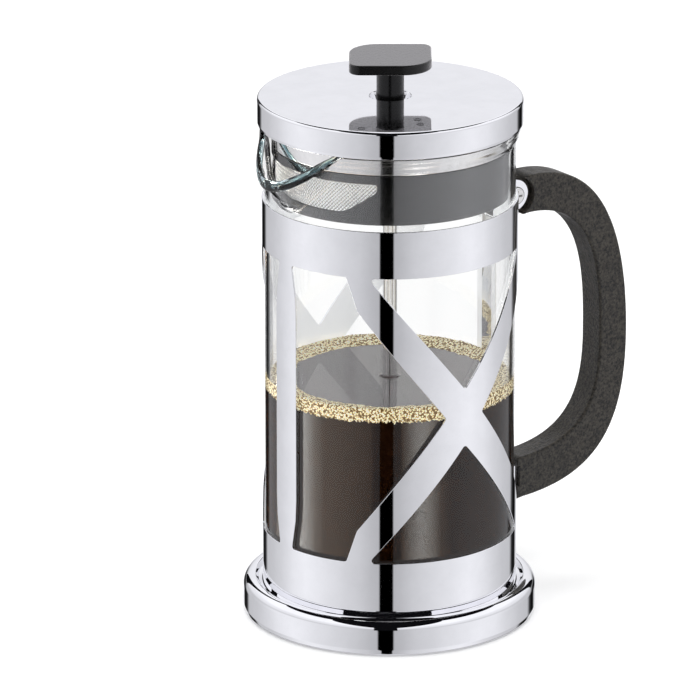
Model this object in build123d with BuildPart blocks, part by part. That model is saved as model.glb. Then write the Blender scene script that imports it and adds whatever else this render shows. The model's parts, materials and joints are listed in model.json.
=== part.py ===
"""French press: a glass beaker in a chromed steel stand, with a plunger lid.

Millimetres. The origin is on the pot's axis, in the plane it stands on.
+Z is up, +X is towards the handle and -X towards the spout.
The plunger is pressed all the way down.
"""
import os
from math import cos, radians, sin

from build123d import *

# ---- driving dimensions ----
CAGE_R = 51.5  # outer radius of the sheet-metal stand
SHEET = 0.8  # sheet steel of the stand, the lid and the bracket
CAGE_TOP = 175.5
CAGE_FOOT = 4.0
WINDOW_LOW = 36.8  # lowest and highest edges of the cut-outs
WINDOW_HIGH = 156.2
PATTERN_MID = 96.3  # height the cut-outs mirror about

BASE_R = 59.35
BASE_TOP = 15.2
BASE_ROUND = 4.2

GLASS_R = CAGE_R - SHEET - 0.3  # 0.3 mm loose in the stand
GLASS_WALL = 2.0
GLASS_IN = GLASS_R - GLASS_WALL
GLASS_BOTTOM = 7.2
GLASS_RIM = 207.6
GLASS_FLARE = 1.8  # how far the mouth opens outward
FLARE_LOW = 198.5  # the wall starts to open here and is straight again from FLARE_TOP
FLARE_TOP = 204.5
SPOUT_REACH = 61.2  # axis to the tip of the lip
SPOUT_START = 177.5  # the spout leaves the wall above the stand

LID_R = 53.25
LID_LOW = 205.8
LID_TOP = 217.0
NECK_R = 47.5
NECK_LOW = 198.0
PAN_LOW = 207.9  # underside of the disc that carries the neck
STRAINER_LOW = 177.3
STRAINER_TOP = NECK_LOW - 0.3

ROD_R = 2.8
KNOB_TOP = 234.0
KNOB_PLATE = 4.0
STEM_R = 5.5
STEM_LOW = 214.8
ROD_TOP = 227.0
KNOB_TURN = -35.5  # degrees the knob's flats are turned from the X axis

HANDLE_WIDTH = 12.8
TONGUE_END = 52.4  # inner end of the tongue, clear of the glass
HANDLE_END = 60.0  # end face of the lower arm
GRIP_IN = 102.0  # inner and outer face of the grip, from the pot's axis
GRIP_OUT = 115.9
EAR_X = 59.5  # centre of the upper clamp screw
EAR_Z = 165.6
EAR_R = 6.6
RECESS_R = 8.0  # round recess in the handle for each ear
ARM_TOP = EAR_Z + 7.9
ARM_LOW = EAR_Z - 7.9
SLOT_LOW = 158.0  # the band is slit down to here between the ears
TONGUE = 6.6  # thickness of the handle's end between the ears
LOWER_Z = 45.6  # height of the lower bracket
LOWER_HEIGHT = 8.3

FILTER_Z = 22.2  # underside of the filter mesh, pressed down
PLATE_Z = FILTER_Z + 0.5  # underside of the spring plate
HUB_Z = 14.4  # underside of the nut that clamps the stack
THREAD_R = 2.2
SPRING_R = 44.9  # middle of the coil round the plunger's edge

os.makedirs("parts", exist_ok=True)


def on_wall(angle, height):
    """A point of the flat pattern, seen square to the middle of its window."""
    return (CAGE_R * sin(radians(angle)), height)


def wall_edge(start, end):
    """A straight cut in the flat sheet, which bows a little once it is rolled."""
    if start[0] == end[0] or start[1] == end[1]:
        return Line(on_wall(*start), on_wall(*end))
    middle = ((start[0] + end[0]) / 2, (start[1] + end[1]) / 2)
    return ThreePointArc(on_wall(*start), on_wall(*middle), on_wall(*end))


def outward_plane(direction):
    """The plane through the axis that faces out at this angle, with its y up."""
    turn = radians(direction)
    return Plane(origin=(0, 0, 0), x_dir=(-sin(turn), cos(turn), 0), z_dir=(cos(turn), sin(turn), 0))


def window(direction, corners):
    """Cut one window, whose corners are (angle, height), through one side of the sheet."""
    with BuildSketch(outward_plane(direction)) as outline:
        with BuildLine():
            for start, end in zip(corners, corners[1:] + corners[:1]):
                wall_edge(start, end)
        make_face()
        fillet(outline.vertices(), 1.2)
    extrude(outline.sketch, amount=CAGE_R + 5, mode=Mode.SUBTRACT)


def mirrored(height):
    return 2 * PATTERN_MID - height


# ---- stand: the rolled steel cage ----
# Between an I strap and the X: one side follows the strap, the other comes to a point at the X.
side_window = [
    (-40.5, WINDOW_HIGH),
    (-10.5, WINDOW_HIGH),
    (-5.5, 142.4),
    (35.2, PATTERN_MID),
    (-5.5, mirrored(142.4)),
    (-10.5, WINDOW_LOW),
    (-40.5, WINDOW_LOW),
    (-38.0, 49.0),
    (-37.5, 58.0),
    (-37.5, mirrored(58.0)),
    (-38.0, mirrored(49.0)),
]
upper_window = [(-45.4, WINDOW_HIGH), (0, 107.2), (45.4, WINDOW_HIGH)]
lower_window = [(-45.4, WINDOW_LOW), (0, 84.0), (45.4, WINDOW_LOW)]

with BuildPart() as frame_cage:
    with BuildSketch(Plane.XY.offset(CAGE_FOOT)):
        Circle(CAGE_R)
        Circle(CAGE_R - SHEET, mode=Mode.SUBTRACT)
    extrude(amount=CAGE_TOP - CAGE_FOOT)
    for side in (-90, 90):
        window(side, upper_window)
        window(side, lower_window)
    for side, sense in ((-135, 1), (-45, -1), (45, 1), (135, -1)):
        window(side, [(sense * angle, height) for angle, height in side_window])
    # the in-turned foot that the base plate is screwed to
    with BuildSketch(Plane.XY.offset(CAGE_FOOT)):
        Circle(CAGE_R - SHEET / 2)
        Circle(40, mode=Mode.SUBTRACT)
        with PolarLocations(45, 3, start_angle=60):
            Circle(1.5, mode=Mode.SUBTRACT)
    extrude(amount=SHEET)
    # the slot between the two ears, then the ears that clamp the handle
    with BuildSketch(Plane.XZ):
        with Locations((CAGE_R, CAGE_TOP)):
            Rectangle(8, 2 * (CAGE_TOP - SLOT_LOW))
    extrude(amount=TONGUE / 2, both=True, mode=Mode.SUBTRACT)
    for side in (-1, 1):
        with BuildSketch(Plane.XZ.offset(side * TONGUE / 2)):
            with Locations((EAR_X, EAR_Z)):
                Circle(EAR_R)
            with Locations(((EAR_X + CAGE_R - 0.7) / 2, EAR_Z)):
                Rectangle(EAR_X - CAGE_R + 0.7, 2 * EAR_R)
            with Locations((EAR_X, EAR_Z)):
                Circle(2.1, mode=Mode.SUBTRACT)
        extrude(amount=side * SHEET)
frame_cage.part.label = "frame_cage"
export_step(frame_cage.part, "parts/frame_cage.step")

# ---- stand: the base ----
with BuildPart() as base_cover:
    with BuildSketch(Plane.XZ):
        with BuildLine():
            Polyline((56.2, 0), (58.6, 0.9), (BASE_R, 3.0), (BASE_R, BASE_TOP - BASE_ROUND))
            RadiusArc((BASE_R, BASE_TOP - BASE_ROUND), (BASE_R - BASE_ROUND, BASE_TOP), -BASE_ROUND)
            Polyline((BASE_R - BASE_ROUND, BASE_TOP), (54.6, BASE_TOP - 0.2), (53.2, BASE_TOP - 1.9))
            Polyline((53.2, BASE_TOP - 1.9), (51.8, BASE_TOP - 2.5), (51.8, BASE_TOP - 3.6))
            Polyline((51.8, BASE_TOP - 3.6), (53.6, BASE_TOP - 3.5), (55, BASE_TOP - 1.6))
            Polyline((55, BASE_TOP - 1.6), (56.2, BASE_TOP - 1.5), (58.1, BASE_TOP - 4.0))
            Polyline((58.1, BASE_TOP - 4.0), (58.1, 3.4), (56.2, 1.6), (56.2, 0))
        make_face()
    revolve(axis=Axis.Z)
base_cover.part.label = "base_cover"
export_step(base_cover.part, "parts/base_cover.step")

with BuildPart() as base_plate:
    with BuildSketch():
        Circle(56.0)
    extrude(amount=CAGE_FOOT)
    # a shallow ring takes the middle of the underside off the table
    with BuildSketch():
        Circle(40)
        Circle(20, mode=Mode.SUBTRACT)
    extrude(amount=1.2, mode=Mode.SUBTRACT)
    with BuildSketch():
        with PolarLocations(45, 3, start_angle=60):
            Circle(1.6)
    extrude(amount=CAGE_FOOT, mode=Mode.SUBTRACT)
    with BuildSketch():
        with PolarLocations(45, 3, start_angle=60):
            Circle(3.2)
    extrude(amount=2.2, mode=Mode.SUBTRACT)
    with BuildSketch(Plane.XY.offset(CAGE_FOOT)):
        Circle(56.0)
        Circle(CAGE_R + 0.4, mode=Mode.SUBTRACT)
    extrude(amount=4)
base_plate.part.label = "base_plate"
export_step(base_plate.part, "parts/base_plate.step")

# ---- stand: the seat under the glass and the base screws ----
with BuildPart() as beaker_cushion:
    with BuildSketch(Plane.XY.offset(CAGE_FOOT)):
        Circle(39.5)
        Circle(16, mode=Mode.SUBTRACT)
    extrude(amount=GLASS_BOTTOM - CAGE_FOOT)
beaker_cushion.part.label = "beaker_cushion"
export_step(beaker_cushion.part, "parts/beaker_cushion.step")

with BuildPart() as base_screws:
    with BuildSketch(Plane.XY.offset(0.6)):
        with PolarLocations(45, 3, start_angle=60):
            Circle(2.8)
    extrude(amount=1.6)
    with BuildSketch(Plane.XY.offset(0.6)):
        with PolarLocations(45, 3, start_angle=60):
            Circle(1.45)
    extrude(amount=5.6)
    with BuildSketch(Plane.XY.offset(0.6)):
        with PolarLocations(45, 3, start_angle=60):
            Rectangle(3.2, 0.7)
            Rectangle(0.7, 3.2)
    extrude(amount=0.9, mode=Mode.SUBTRACT)
base_screws.part.label = "base_screws"
export_step(base_screws.part, "parts/base_screws.step")

# ---- stand: the handle ----
with BuildPart() as handle:
    with BuildSketch(Plane.XZ):
        with BuildLine():
            Line((EAR_X, ARM_TOP), (68, ARM_TOP))
            Bezier((68, ARM_TOP), (104.3, ARM_TOP), (GRIP_OUT, 138.3), (GRIP_OUT, 98))
            Bezier((GRIP_OUT, 98), (GRIP_OUT, 56.8), (101, 37.2), (HANDLE_END, 36))
            Line((HANDLE_END, 36), (HANDLE_END, 53.5))
            Bezier((HANDLE_END, 53.5), (94.2, 54.5), (GRIP_IN, 71), (GRIP_IN, 98))
            Bezier((GRIP_IN, 98), (GRIP_IN, 120.7), (GRIP_IN, ARM_LOW), (66, ARM_LOW))
            Line((66, ARM_LOW), (EAR_X, ARM_LOW))
            Line((EAR_X, ARM_LOW), (EAR_X, ARM_TOP))
        make_face()
    extrude(amount=HANDLE_WIDTH / 2, both=True)
    fillet(handle.faces().filter_by(Axis.Y).edges(), 0.7)
    # the recesses that the two ears lie in
    for side in (-1, 1):
        with BuildSketch(Plane.XZ.offset(side * TONGUE / 2)):
            with Locations((EAR_X, EAR_Z)):
                Circle(RECESS_R)
        extrude(amount=side * HANDLE_WIDTH, mode=Mode.SUBTRACT)
    # the tongue that goes in between them
    with BuildSketch(Plane.XZ):
        with Locations(((TONGUE_END + EAR_X) / 2 + 1, EAR_Z)):
            Rectangle(EAR_X - TONGUE_END + 2, ARM_TOP - ARM_LOW)
    extrude(amount=TONGUE / 2 - 0.05, both=True)
    with BuildSketch(Plane.XZ):
        with Locations((EAR_X, EAR_Z)):
            Circle(2.1)
    extrude(amount=HANDLE_WIDTH, both=True, mode=Mode.SUBTRACT)
    # the notch that seats the lower bracket, and the pilot hole for its screw
    with BuildSketch(Plane.XZ):
        with Locations((HANDLE_END, LOWER_Z)):
            Rectangle(2.4, LOWER_HEIGHT + 0.3)
    extrude(amount=HANDLE_WIDTH, both=True, mode=Mode.SUBTRACT)
    with BuildSketch(Plane.YZ.offset(HANDLE_END)):
        with Locations((0, LOWER_Z)):
            Circle(1.62)
    extrude(amount=14, mode=Mode.SUBTRACT)
handle.part.label = "handle"
export_step(handle.part, "parts/handle.step")

with BuildPart() as clamp_screw:
    outer_face = TONGUE / 2 + SHEET
    with BuildSketch(Plane.XZ.offset(outer_face)):
        with Locations((EAR_X, EAR_Z)):
            Circle(3.8)
    extrude(amount=1.9)
    fillet(clamp_screw.edges().sort_by(Axis.Y)[0], 1.1)
    with BuildSketch(Plane.XZ.offset(outer_face)):
        with Locations((EAR_X, EAR_Z)):
            Circle(1.95)
    extrude(amount=-2 * outer_face - 2.4)
    with BuildSketch(Plane.XZ.offset(outer_face + 1.9)):
        with Locations((EAR_X, EAR_Z)):
            Rectangle(4.6, 0.9)
            Rectangle(0.9, 4.6)
    extrude(amount=-1.2, mode=Mode.SUBTRACT)
clamp_screw.part.label = "clamp_screw"
export_step(clamp_screw.part, "parts/clamp_screw.step")

with BuildPart() as clamp_nut:
    with BuildSketch(Plane.XZ.offset(-outer_face)):
        with Locations((EAR_X, EAR_Z)):
            RegularPolygon(3.5, 6, major_radius=False)
            Circle(2.0, mode=Mode.SUBTRACT)
    extrude(amount=-2.0)
clamp_nut.part.label = "clamp_nut"
export_step(clamp_nut.part, "parts/clamp_nut.step")

with BuildPart() as handle_bracket:
    with BuildSketch(Plane.XY.offset(LOWER_Z - LOWER_HEIGHT / 2)):
        with Locations((60.6, 0)):
            Rectangle(SHEET, 9.2)
        for side in (-1, 1):
            with Locations(((51.4 + 60.6) / 2, side * 4.2)):
                Rectangle(60.6 - 51.4, SHEET)
    extrude(amount=LOWER_HEIGHT)
    with BuildSketch(Plane.YZ.offset(58)):
        with Locations((0, LOWER_Z)):
            Circle(1.75)
    extrude(amount=4, mode=Mode.SUBTRACT)
handle_bracket.part.label = "handle_bracket"
export_step(handle_bracket.part, "parts/handle_bracket.step")

with BuildPart() as bracket_screw:
    with BuildSketch(Plane.YZ.offset(60.2)):
        with Locations((0, LOWER_Z)):
            Circle(3.0)
    extrude(amount=-1.8)
    with BuildSketch(Plane.YZ.offset(60.2)):
        with Locations((0, LOWER_Z)):
            Circle(1.6)
    extrude(amount=12)
    with BuildSketch(Plane.YZ.offset(58.4)):
        with Locations((0, LOWER_Z)):
            Rectangle(3.4, 0.7)
            Rectangle(0.7, 3.4)
    extrude(amount=1.0, mode=Mode.SUBTRACT)
bracket_screw.part.label = "bracket_screw"
export_step(bracket_screw.part, "parts/bracket_screw.step")

# ---- beaker ----
with BuildPart() as glass_beaker:
    # the outer form: a straight wall with rounded foot and opened mouth, and the spout's bulge
    with BuildSketch(Plane.XZ):
        with BuildLine():
            Polyline((0, GLASS_RIM), (0, GLASS_BOTTOM), (GLASS_R - 8, GLASS_BOTTOM))
            RadiusArc((GLASS_R - 8, GLASS_BOTTOM), (GLASS_R, GLASS_BOTTOM + 8), -8)
            Polyline((GLASS_R, GLASS_BOTTOM + 8), (GLASS_R, FLARE_LOW), (GLASS_R + GLASS_FLARE, FLARE_TOP))
            Polyline((GLASS_R + GLASS_FLARE, FLARE_TOP), (GLASS_R + GLASS_FLARE, GLASS_RIM), (0, GLASS_RIM))
        make_face()
    revolve(axis=Axis.Z)
    for height, reach, half_width in (
        (SPOUT_START, GLASS_R - 0.6, 9),
        (190, SPOUT_REACH - 0.8, 19.5),
        (GLASS_RIM, SPOUT_REACH + 1, 27.5),
    ):
        with BuildSketch(Plane.XY.offset(height)):
            with Locations((-36, 0)):
                Ellipse(reach - 36, half_width)
    loft()
    # the inside, a wall's thickness smaller all round
    with BuildSketch(Plane.XZ):
        with BuildLine():
            Polyline((0, GLASS_RIM), (0, GLASS_BOTTOM + 2.8), (GLASS_IN - 6, GLASS_BOTTOM + 2.8))
            RadiusArc((GLASS_IN - 6, GLASS_BOTTOM + 2.8), (GLASS_IN, GLASS_BOTTOM + 8.8), -6)
            Line((GLASS_IN, GLASS_BOTTOM + 8.8), (GLASS_IN, FLARE_LOW))
            Line((GLASS_IN, FLARE_LOW), (GLASS_IN + GLASS_FLARE, FLARE_TOP))
            Polyline((GLASS_IN + GLASS_FLARE, FLARE_TOP), (GLASS_IN + GLASS_FLARE, GLASS_RIM), (0, GLASS_RIM))
        make_face()
    revolve(axis=Axis.Z, mode=Mode.SUBTRACT)
    for height, reach, half_width in (
        (SPOUT_START + 1, GLASS_IN - 0.6, 7.5),
        (190, SPOUT_REACH - GLASS_WALL - 0.8, 17.5),
        (GLASS_RIM, SPOUT_REACH - GLASS_WALL + 1, 25.5),
    ):
        with BuildSketch(Plane.XY.offset(height)):
            with Locations((-36, 0)):
                Ellipse(reach - 36, half_width)
    loft(mode=Mode.SUBTRACT)
    # the lip: the rim falls away towards the spout's tip
    with BuildSketch(Plane.XZ):
        with BuildLine():
            Polyline((-44, 215), (-44, GLASS_RIM), (-51.5, 200), (-60.2, 191.4))
            Polyline((-60.2, 191.4), (-66, 187), (-66, 215), (-44, 215))
        make_face()
    extrude(amount=40, both=True, mode=Mode.SUBTRACT)
glass_beaker.part.label = "glass_beaker"
export_step(glass_beaker.part, "parts/glass_beaker.step")

# ---- lid ----
with BuildPart() as lid_shell:
    with BuildSketch(Plane.XZ):
        with BuildLine():
            Polyline((LID_R - 0.3, LID_LOW), (LID_R, LID_LOW + 2), (LID_R, LID_TOP - 1.4))
            RadiusArc((LID_R, LID_TOP - 1.4), (LID_R - 1.4, LID_TOP), -1.4)
            Polyline((LID_R - 1.4, LID_TOP), (8.6, LID_TOP), (7.9, LID_TOP - 0.6), (7.4, LID_TOP - 3.2))
            Polyline((7.4, LID_TOP - 3.2), (4.5, LID_TOP - 3.2), (4.5, LID_TOP - 4), (8.0, LID_TOP - 4))
            Polyline((8.0, LID_TOP - 4), (8.6, LID_TOP - 1.4), (9.2, LID_TOP - SHEET))
            Polyline((9.2, LID_TOP - SHEET), (LID_R - 1.5, LID_TOP - SHEET), (LID_R - SHEET, LID_TOP - 1.5))
            Polyline((LID_R - SHEET, LID_TOP - 1.5), (LID_R - SHEET, LID_LOW + 2))
            Polyline((LID_R - SHEET, LID_LOW + 2), (LID_R - 0.3 - SHEET / 2, LID_LOW), (LID_R - 0.3, LID_LOW))
        make_face()
    revolve(axis=Axis.Z)
lid_shell.part.label = "lid_shell"
export_step(lid_shell.part, "parts/lid_shell.step")

with BuildPart() as lid_pan:
    with BuildSketch(Plane.XZ):
        with BuildLine():
            Polyline((NECK_R - SHEET, NECK_LOW), (NECK_R, NECK_LOW), (NECK_R, PAN_LOW))
            Line((NECK_R, PAN_LOW), (LID_R - SHEET - 0.05, PAN_LOW))
            Line((LID_R - SHEET - 0.05, PAN_LOW), (LID_R - SHEET - 0.05, PAN_LOW + SHEET))
            Polyline((LID_R - SHEET - 0.05, PAN_LOW + SHEET), (4.5, PAN_LOW + SHEET), (4.5, PAN_LOW))
            Polyline((4.5, PAN_LOW), (NECK_R - SHEET, PAN_LOW), (NECK_R - SHEET, NECK_LOW))
        make_face()
    revolve(axis=Axis.Z)
lid_pan.part.label = "lid_pan"
export_step(lid_pan.part, "parts/lid_pan.step")

with BuildPart() as rod_bush:
    with BuildSketch(Plane.XZ):
        with BuildLine():
            Polyline((ROD_R + 0.05, 204), (4.4, 204), (4.4, LID_TOP - 3.2), (5.4, LID_TOP - 3.2))
            Polyline((5.4, LID_TOP - 3.2), (5.4, LID_TOP - 2.5), (ROD_R + 0.05, LID_TOP - 2.5))
            Line((ROD_R + 0.05, LID_TOP - 2.5), (ROD_R + 0.05, 204))
        make_face()
    revolve(axis=Axis.Z)
rod_bush.part.label = "rod_bush"
export_step(rod_bush.part, "parts/rod_bush.step")

# ---- strainer: turned with the lid to open or close the spout ----
with BuildPart() as strainer_ring:
    with BuildSketch(Plane.XZ):
        with BuildLine():
            Polyline((45.9, STRAINER_LOW), (NECK_R, STRAINER_LOW), (NECK_R, STRAINER_TOP))
            Polyline((NECK_R, STRAINER_TOP), (46.4, STRAINER_TOP), (46.4, 206), (45.2, 206))
            Polyline((45.2, 206), (45.2, 196.5), (45.9, 196), (45.9, STRAINER_LOW))
        make_face()
    revolve(axis=Axis.Z)
    with BuildSketch(outward_plane(180)) as opening:
        with BuildLine():
            for start, end in (
                ((-48, 194), (48, 194)),
                ((48, 194), (48, 190.5)),
                ((48, 190.5), (31, 181.6)),
                ((31, 181.6), (-31, 181.6)),
                ((-31, 181.6), (-48, 190.5)),
                ((-48, 190.5), (-48, 194)),
            ):
                Line((NECK_R * sin(radians(start[0])), start[1]), (NECK_R * sin(radians(end[0])), end[1]))
        make_face()
        fillet(opening.vertices().filter_by_position(Axis.Y, 181, 182), 12)
        fillet(opening.vertices().filter_by_position(Axis.Y, 190.4, 190.6), 3.5)
        fillet(opening.vertices().filter_by_position(Axis.Y, 193.9, 194.1), 1.2)
    extrude(amount=60, mode=Mode.SUBTRACT)
strainer_ring.part.label = "strainer_ring"
export_step(strainer_ring.part, "parts/strainer_ring.step")

with BuildPart() as strainer_mesh:
    with BuildSketch(Plane.XY.offset(180.5)):
        Circle(45.85)
        Circle(45.4, mode=Mode.SUBTRACT)
        with BuildLine():
            Polyline((0, 0), (-80, 95), (80, 95), (80, -95), (-80, -95), (0, 0))
        make_face(mode=Mode.SUBTRACT)
    extrude(amount=14.8)
strainer_mesh.part.label = "strainer_mesh"
export_step(strainer_mesh.part, "parts/strainer_mesh.step")

# ---- plunger ----
with BuildPart() as knob:
    plate_plane = Plane.XY.rotated((0, 0, KNOB_TURN)).offset(KNOB_TOP - KNOB_PLATE)
    with BuildSketch(plate_plane) as plate:
        with Locations((0, -1)):
            Rectangle(33, 33)
        tight = plate.vertices().sort_by_distance((17, 16, 0))
        fillet((tight[0], tight[-1]), 4.5)
        wide = plate.vertices().sort_by_distance((-17, 16, 0))
        fillet((wide[0], wide[-1]), 12)
    extrude(amount=KNOB_PLATE)
    fillet(knob.edges().group_by(Axis.Z)[-1], 0.8)
    # shallow round recesses moulded in the underside
    with BuildSketch(plate_plane):
        with Locations((-11.5, -3), (-9, -9.5), (11, 9.5), (12, 3)):
            Circle(1.3)
    extrude(amount=0.7, mode=Mode.SUBTRACT)
    with BuildSketch(Plane.XY.offset(STEM_LOW)):
        Circle(STEM_R)
    extrude(amount=KNOB_TOP - KNOB_PLATE - STEM_LOW)
    with BuildSketch(Plane.XY.offset(STEM_LOW)):
        Circle(ROD_R)
    extrude(amount=ROD_TOP - STEM_LOW, mode=Mode.SUBTRACT)
knob.part.label = "knob"
export_step(knob.part, "parts/knob.step")

with BuildPart() as plunger_rod:
    with BuildSketch(Plane.XY.offset(PLATE_Z)):
        Circle(ROD_R)
    extrude(amount=ROD_TOP - PLATE_Z)
    # the thinner threaded end, under the shoulder that the stack is clamped against
    with BuildSketch(Plane.XY.offset(HUB_Z + 0.4)):
        Circle(THREAD_R)
    extrude(amount=PLATE_Z - HUB_Z - 0.4)
plunger_rod.part.label = "plunger_rod"
export_step(plunger_rod.part, "parts/plunger_rod.step")

with BuildPart() as rod_collar:
    with BuildSketch(Plane.XY.offset(PLATE_Z + SHEET)):
        Circle(5.5)
        Circle(ROD_R, mode=Mode.SUBTRACT)
    extrude(amount=5)
    fillet(rod_collar.edges().group_by(Axis.Z)[-1].sort_by(SortBy.RADIUS)[-1], 0.8)
rod_collar.part.label = "rod_collar"
export_step(rod_collar.part, "parts/rod_collar.step")

with BuildPart() as spring_plate:
    # a dish whose raised rim keeps the edge spring out against the glass
    with BuildSketch(Plane.XZ):
        with BuildLine():
            Polyline((ROD_R, PLATE_Z), (42.6, PLATE_Z), (42.6, PLATE_Z + 3.6), (41.8, PLATE_Z + 3.6))
            Polyline((41.8, PLATE_Z + 3.6), (41.8, PLATE_Z + SHEET), (ROD_R, PLATE_Z + SHEET))
            Line((ROD_R, PLATE_Z + SHEET), (ROD_R, PLATE_Z))
        make_face()
    revolve(axis=Axis.Z)
    with BuildSketch(Plane.XY.offset(PLATE_Z)):
        with PolarLocations(26, 6):
            SlotOverall(22, 9)
    extrude(amount=SHEET, mode=Mode.SUBTRACT)
spring_plate.part.label = "spring_plate"
export_step(spring_plate.part, "parts/spring_plate.step")

with BuildPart() as edge_spring:
    # the closed ring that the long fine coil fills
    with BuildSketch(Plane.XZ):
        with Locations((SPRING_R, PLATE_Z + 2.6)):
            Circle(1.5)
    revolve(axis=Axis.Z)
edge_spring.part.label = "edge_spring"
export_step(edge_spring.part, "parts/edge_spring.step")

with BuildPart() as filter_mesh:
    with BuildSketch(Plane.XZ):
        with BuildLine():
            Polyline((THREAD_R, FILTER_Z), (44.2, FILTER_Z), (47.6, FILTER_Z + 2.2), (48.0, FILTER_Z + 5))
            Polyline((48.0, FILTER_Z + 5), (47.5, FILTER_Z + 5), (47.1, FILTER_Z + 2.6))
            Polyline((47.1, FILTER_Z + 2.6), (44.0, FILTER_Z + 0.5), (THREAD_R, FILTER_Z + 0.5))
            Line((THREAD_R, FILTER_Z + 0.5), (THREAD_R, FILTER_Z))
        make_face()
    revolve(axis=Axis.Z)
filter_mesh.part.label = "filter_mesh"
export_step(filter_mesh.part, "parts/filter_mesh.step")

with BuildPart() as cross_plate:
    with BuildSketch(Plane.XY.offset(FILTER_Z - 1.2)):
        Circle(44.5)
        Circle(THREAD_R, mode=Mode.SUBTRACT)
        for radius, count in ((15, 6), (25.5, 10), (36, 14)):
            with PolarLocations(radius, count):
                Circle(3.4, mode=Mode.SUBTRACT)
    extrude(amount=1.2)
cross_plate.part.label = "cross_plate"
export_step(cross_plate.part, "parts/cross_plate.step")

with BuildPart() as hub_nut:
    with BuildSketch(Plane.XY.offset(HUB_Z)):
        Circle(8)
        with PolarLocations(8.6, 8):
            Circle(1.6, mode=Mode.SUBTRACT)
        Circle(THREAD_R, mode=Mode.SUBTRACT)
    extrude(amount=FILTER_Z - 1.2 - HUB_Z)
hub_nut.part.label = "hub_nut"
export_step(hub_nut.part, "parts/hub_nut.step")
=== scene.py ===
import json
from bisect import bisect_right
from math import atan2, ceil, copysign, cos, exp, hypot, pi, radians, sin, tan, tau

import bpy
import numpy as np
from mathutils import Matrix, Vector, geometry, noise


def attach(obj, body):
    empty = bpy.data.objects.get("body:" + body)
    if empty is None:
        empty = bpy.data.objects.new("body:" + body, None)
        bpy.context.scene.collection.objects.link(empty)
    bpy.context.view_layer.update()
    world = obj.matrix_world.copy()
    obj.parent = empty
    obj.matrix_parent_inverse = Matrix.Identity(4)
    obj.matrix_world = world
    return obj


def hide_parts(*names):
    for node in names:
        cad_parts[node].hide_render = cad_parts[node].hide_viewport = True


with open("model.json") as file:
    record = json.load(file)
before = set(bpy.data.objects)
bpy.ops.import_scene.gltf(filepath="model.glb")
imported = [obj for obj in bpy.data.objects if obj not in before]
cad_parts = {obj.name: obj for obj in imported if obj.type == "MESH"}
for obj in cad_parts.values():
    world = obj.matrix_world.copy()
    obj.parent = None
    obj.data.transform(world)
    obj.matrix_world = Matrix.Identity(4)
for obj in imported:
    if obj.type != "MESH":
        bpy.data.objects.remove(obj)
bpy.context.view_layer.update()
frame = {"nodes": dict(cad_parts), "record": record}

MM = 0.001
SHARP = radians(40)  # profile corners turned further than this stay crisp
VIEW_TURN = radians(-35.5)  # the photograph's side of the pot, which the knob's plate faces too
VIEW_TIP = radians(18.25)  # how far above level the camera stands
GAP_TURN = radians(-128.646)  # the dark gap between the lamps, a little left of the camera


# ---------------------------------------------------------------- shape tools
class Shape:
    """Points, faces, and one normal for every corner of every face."""

    def __init__(self):
        self.points, self.faces, self.normals = [], [], []

    def join(self, *others):
        for other in others:
            first = len(self.points)
            self.points += other.points
            self.faces += [tuple(first + i for i in face) for face in other.faces]
            self.normals += other.normals
        return self

    def face(self, corners, normals):
        """Add a face, turned so that it looks the way its normals do."""
        a, b, c = (self.points[corners[i]] for i in (0, 1, 2))
        across = (b - a).cross(c - a)
        if len(corners) == 4:
            across += (c - a).cross(self.points[corners[3]] - a)
        if across.dot(sum(normals, Vector())) < 0:
            corners, normals = corners[::-1], normals[::-1]
        self.faces.append(tuple(corners))
        self.normals.append(tuple(normals))


def piece(name, shape, body, material, replaced=()):
    """One visible object that rides on a body and, where it names CAD nodes, stands for them."""
    mesh = bpy.data.meshes.new(name)
    mesh.from_pydata([p * MM for p in shape.points], [], shape.faces)
    mesh.materials.append(material)
    mesh.shade_smooth()
    if shape.normals:
        mesh.normals_split_custom_set([n for corners in shape.normals for n in corners])
    obj = bpy.data.objects.new(name, mesh)
    bpy.context.scene.collection.objects.link(obj)
    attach(obj, body)
    if replaced:
        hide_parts(*replaced)
    return obj


def rounded(corners, steps=6):
    """An outline in which each corner (x, y, radius) becomes an arc."""
    outline = []
    for i, corner in enumerate(corners):
        here = Vector(corner[:2])
        radius = corner[2] if len(corner) > 2 else 0
        if not radius:
            outline.append(here)
            continue
        back = (Vector(corners[i - 1][:2]) - here).normalized()
        on = (Vector(corners[(i + 1) % len(corners)][:2]) - here).normalized()
        half = back.angle(on) / 2
        centre = here + (back + on).normalized() * (radius / sin(half))
        arm = here + back * (radius / tan(half)) - centre
        turn = copysign(pi - 2 * half, back.x * on.y - back.y * on.x)
        for k in range(steps + 1):
            angle = -turn * k / steps
            outline.append(centre + Vector((arm.x * cos(angle) - arm.y * sin(angle),
                                            arm.x * sin(angle) + arm.y * cos(angle))))
    return outline


def divided(outline, step, wrap=0):
    """The same closed outline with its long sides cut into stretches no longer than step.

    wrap is what to add to the first point's x to close an outline that goes once round the pot.
    """
    result = []
    for here, after in zip(outline, outline[1:] + [outline[0] + Vector((wrap, 0))]):
        parts = max(1, ceil((after - here).length / step))
        result += [here.lerp(after, k / parts) for k in range(parts)]
    return result


def bezier(a, b, c, d, steps=40):
    """Points of a cubic curve, without its last one."""
    a, b, c, d = map(Vector, (a, b, c, d))
    result = []
    for k in range(steps):
        t = k / steps
        s = 1 - t
        result.append(a * s**3 + b * 3 * s * s * t + c * 3 * s * t * t + d * t**3)
    return result


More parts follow.
